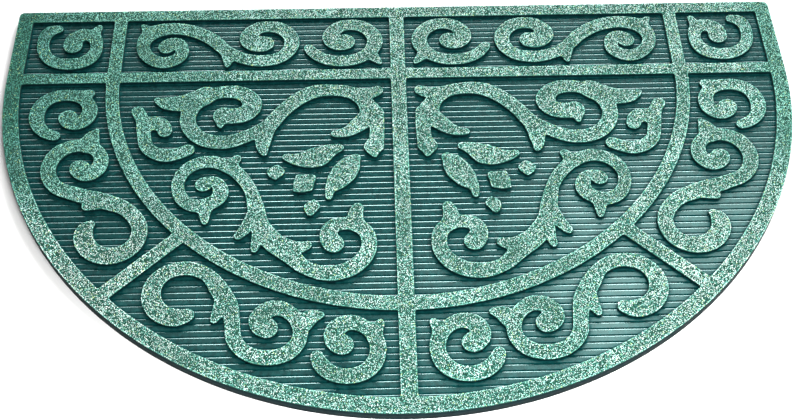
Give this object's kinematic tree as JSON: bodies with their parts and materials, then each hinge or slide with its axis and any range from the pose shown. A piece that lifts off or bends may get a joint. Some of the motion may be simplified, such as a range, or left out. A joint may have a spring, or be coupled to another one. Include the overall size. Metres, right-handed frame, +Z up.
{
  "type": "doormat",
  "caption": "Half-round doormat in moulded rubber: raised border, crossing bars, an inner arch and curling scrollwork on a finely ribbed floor.",
  "frame": {"origin": "middle of the plan's bounding box, on the underside where the mat meets the ground", "axes": "+X to the right along the straight back edge, +Y towards the straight back edge, +Z up from the ground"},
  "size_m": [0.762, 0.4572, 0.011],
  "materials": {
    "pile_rubber": "moulded rubber with a short, heathered pile face"
  },
  "bodies": {
    "root": {"doormat": "pile_rubber"}
  },
  "joints": []
}
